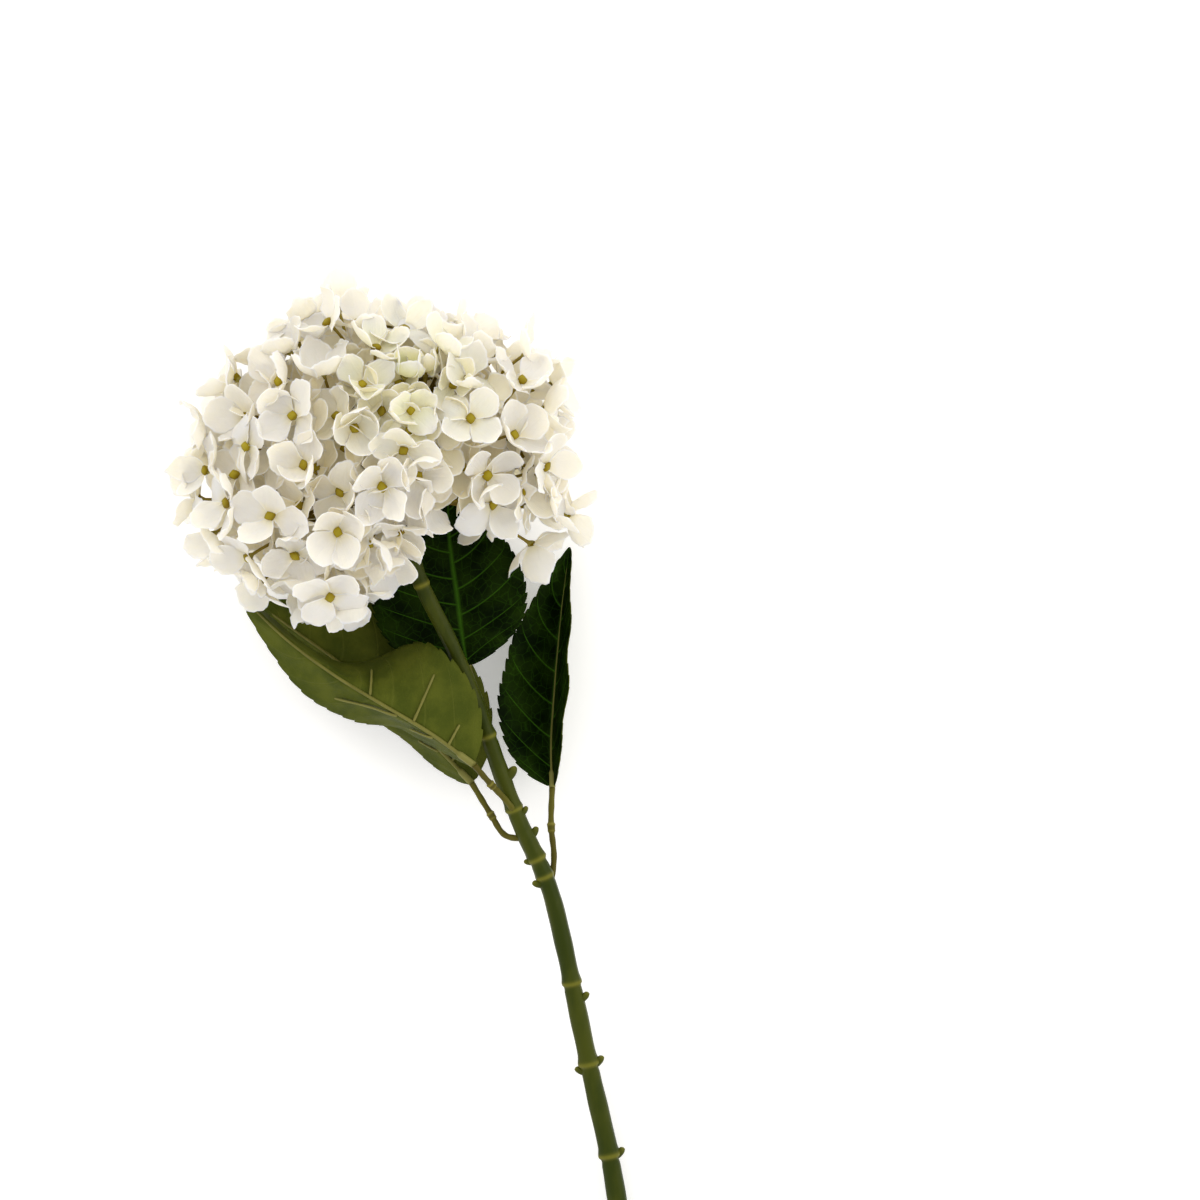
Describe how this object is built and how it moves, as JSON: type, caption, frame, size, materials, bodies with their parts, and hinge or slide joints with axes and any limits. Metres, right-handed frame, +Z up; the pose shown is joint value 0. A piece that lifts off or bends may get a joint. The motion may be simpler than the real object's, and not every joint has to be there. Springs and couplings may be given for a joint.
{
  "type": "cut hydrangea",
  "caption": "Creamy white mophead hydrangea of clustered four-petalled florets on a jointed stem with four serrated leaves, lying down.",
  "frame": {"origin": "on the table, under the middle of the lying flower's box", "axes": "+Z up from the table, +Y along the flower from its cut end to its head, +X to the right seen from above"},
  "size_m": [0.2342, 0.557, 0.1279],
  "materials": {
    "petals": "woven petal cloth, creamy white, a little translucent",
    "flower_stalks": "moulded, olive yellow",
    "stem": "moulded, satin green",
    "leaf_stalks": "moulded, olive brown",
    "leaf_blades": "coated woven cloth, dark green above and olive below",
    "leaf_ribs": "moulded, yellow olive"
  },
  "bodies": {
    "root": {"main_stem": "stem", "head_hub": "flower_stalks", "cyme_01": "petals", "cyme_02": "petals", "cyme_03": "petals", "cyme_04": "petals", "cyme_05": "petals", "cyme_06": "petals", "cyme_07": "petals", "cyme_08": "petals", "cyme_09": "petals", "cyme_10": "petals", "cyme_11": "petals", "cyme_12": "petals", "cyme_13": "petals", "cyme_14": "petals", "cyme_15": "petals", "cyme_16": "petals", "cyme_17": "petals", "cyme_18": "petals", "cyme_19": "petals", "cyme_20": "petals", "cyme_21": "petals", "cyme_22": "petals", "cyme_23": "petals", "cyme_24": "petals", "leaf_a_petiole": "leaf_stalks", "leaf_a_blade": "leaf_blades", "leaf_a_rib": "leaf_ribs", "leaf_b_petiole": "leaf_stalks", "leaf_b_blade": "leaf_blades", "leaf_b_rib": "leaf_ribs", "leaf_c_petiole": "leaf_stalks", "leaf_c_blade": "leaf_blades", "leaf_c_rib": "leaf_ribs", "leaf_d_petiole": "leaf_stalks", "leaf_d_blade": "leaf_blades", "leaf_d_rib": "leaf_ribs"}
  },
  "joints": []
}
